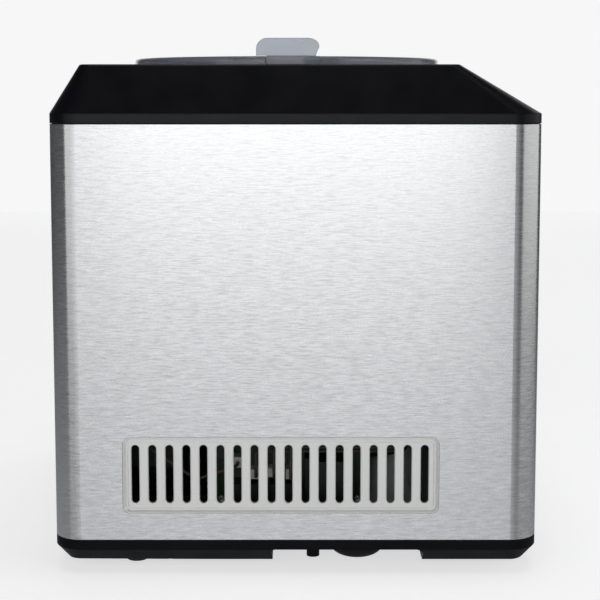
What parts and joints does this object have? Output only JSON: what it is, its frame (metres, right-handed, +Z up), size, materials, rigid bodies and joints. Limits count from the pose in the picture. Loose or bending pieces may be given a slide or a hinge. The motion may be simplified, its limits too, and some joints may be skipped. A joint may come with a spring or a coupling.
{
  "type": "ice cream maker",
  "caption": "Box-shaped compressor ice cream maker: brushed steel body, black sloping top and base, slotted side vents, round clear lid with a hinged filling flap, lift-out bowl.",
  "frame": {"origin": "middle of the footprint, on the surface that the feet stand on", "axes": "+Z up, -Y towards the front with the control slope, +X towards the user's right when facing the front"},
  "size_m": [0.273, 0.286, 0.3144],
  "materials": {
    "base_plastic": "fine-textured black plastic",
    "cover_plastic": "satin black plastic",
    "steel": "horizontally brushed stainless steel",
    "grille": "smooth satin silver",
    "rubber": "matt black rubber",
    "fascia": "gloss dark grey plastic",
    "button": "satin silver plastic",
    "window": "clear plastic",
    "lid_plastic": "smoky clear plastic",
    "bowl_metal": "satin anodised aluminium",
    "well_metal": "satin aluminium",
    "paddle_plastic": "translucent white plastic",
    "copper": "copper tube",
    "foam": "rigid polyurethane foam",
    "zinc_sheet": "zinc-plated sheet steel",
    "black_enamel": "black enamelled steel",
    "gear_plastic": "off-white nylon",
    "machined_steel": "machined steel",
    "bronze": "sintered bronze",
    "magnet": "dark ferrite",
    "board": "green circuit board",
    "component": "black moulded parts",
    "plug": "white nylon plugs",
    "wire": "insulated wire",
    "fin_metal": "thin aluminium fins",
    "screw_steel": "zinc-plated steel",
    "fan_plastic": "black plastic"
  },
  "bodies": {
    "case": {"base_pan": "base_plastic", "side_feet": "rubber", "small_feet": "rubber", "steel_shell": "steel", "left_vent_grille": "grille", "right_vent_grille": "grille", "top_cover": "cover_plastic", "control_fascia": "fascia", "display_window": "window", "display_module": "component", "control_board": "board", "well": "well_metal", "well_gasket": "rubber", "evaporator_coil": "copper", "insulation": "foam", "chassis_plate": "zinc_sheet", "corner_posts": "zinc_sheet", "support_plate": "zinc_sheet", "gearbox_housing": "component", "gearbox_cover": "component", "idler_pin": "machined_steel", "shaft_bush": "bronze", "shaft_seal": "rubber", "motor_can": "zinc_sheet", "motor_end_cap": "component", "motor_magnets": "magnet", "compressor": "black_enamel", "relay_cover": "component", "compressor_grommets": "rubber", "compressor_bolts": "screw_steel", "condenser_fins": "fin_metal", "condenser_tube": "copper", "fan_shroud": "fan_plastic", "fan_motor": "component", "refrigerant_lines": "copper", "power_board": "board", "board_bracket": "component", "board_components": "component", "board_plugs": "plug", "wiring": "wire", "power_inlet": "component", "case_screws": "screw_steel", "gearbox_screws": "screw_steel", "small_screws": "screw_steel"},
    "bowl": {"bowl": "bowl_metal"},
    "paddle": {"paddle": "paddle_plastic"},
    "lid": {"lid": "lid_plastic", "flap_pin": "machined_steel"},
    "flap": {"lid_flap": "lid_plastic"},
    "drive": {"drive_shaft": "machined_steel", "output_gear": "gear_plastic"},
    "idler": {"idler_gear": "gear_plastic"},
    "rotor": {"motor_rotor": "machined_steel", "motor_pinion": "bronze"},
    "fan": {"fan_blade": "fan_plastic"},
    "power_key": {"power_button": "button"},
    "start_key": {"start_button": "button"},
    "minus_key": {"minus_button": "button"},
    "plus_key": {"plus_button": "button"},
    "mode_key": {"mode_button": "button"}
  },
  "joints": [
    {"name": "bowl_lift", "type": "slide", "parent": "case", "child": "bowl", "axis": [0, 0, 1], "range_m": [0, 0.16]},
    {"name": "lid_lift", "type": "slide", "parent": "bowl", "child": "lid", "axis": [0, 0, 1], "range_m": [0, 0.08]},
    {"name": "flap_hinge", "type": "hinge", "parent": "lid", "child": "flap", "pos_m": [-0.038, 0.0062, 0.3022], "axis": [0, 1, 0], "range_deg": [0, 100]},
    {"name": "shaft_spin", "type": "hinge", "parent": "case", "child": "drive", "pos_m": [0, 0.0062, 0.2], "axis": [0, 0, 1], "continuous": true},
    {"name": "paddle_spin", "type": "hinge", "parent": "bowl", "child": "paddle", "pos_m": [0, 0.0062, 0.2], "axis": [0, 0, 1], "continuous": true},
    {"name": "idler_spin", "type": "hinge", "parent": "case", "child": "idler", "pos_m": [0, -0.0238, 0.12], "axis": [0, 0, 1], "continuous": true},
    {"name": "rotor_spin", "type": "hinge", "parent": "case", "child": "rotor", "pos_m": [0, -0.0488, 0.12], "axis": [0, 0, 1], "continuous": true},
    {"name": "fan_spin", "type": "hinge", "parent": "case", "child": "fan", "pos_m": [0.089, 0.002, 0.066], "axis": [1, 0, 0], "continuous": true},
    {"name": "power_press", "type": "slide", "parent": "case", "child": "power_key", "axis": [0, 0.5156, -0.8569], "range_m": [0, 0.0007], "stiffness_N_per_m": 900, "springref_m": -0.0005},
    {"name": "start_press", "type": "slide", "parent": "case", "child": "start_key", "axis": [0, 0.5156, -0.8569], "range_m": [0, 0.0007], "stiffness_N_per_m": 900, "springref_m": -0.0005},
    {"name": "minus_press", "type": "slide", "parent": "case", "child": "minus_key", "axis": [0, 0.5156, -0.8569], "range_m": [0, 0.0007], "stiffness_N_per_m": 900, "springref_m": -0.0005},
    {"name": "plus_press", "type": "slide", "parent": "case", "child": "plus_key", "axis": [0, 0.5156, -0.8569], "range_m": [0, 0.0007], "stiffness_N_per_m": 900, "springref_m": -0.0005},
    {"name": "mode_press", "type": "slide", "parent": "case", "child": "mode_key", "axis": [0, 0.5156, -0.8569], "range_m": [0, 0.0007], "stiffness_N_per_m": 900, "springref_m": -0.0005}
  ],
  "couplings": [
    {"joint": "paddle_spin", "follows": "shaft_spin", "ratio": 1},
    {"joint": "idler_spin", "follows": "shaft_spin", "ratio": -4},
    {"joint": "rotor_spin", "follows": "shaft_spin", "ratio": 16}
  ]
}
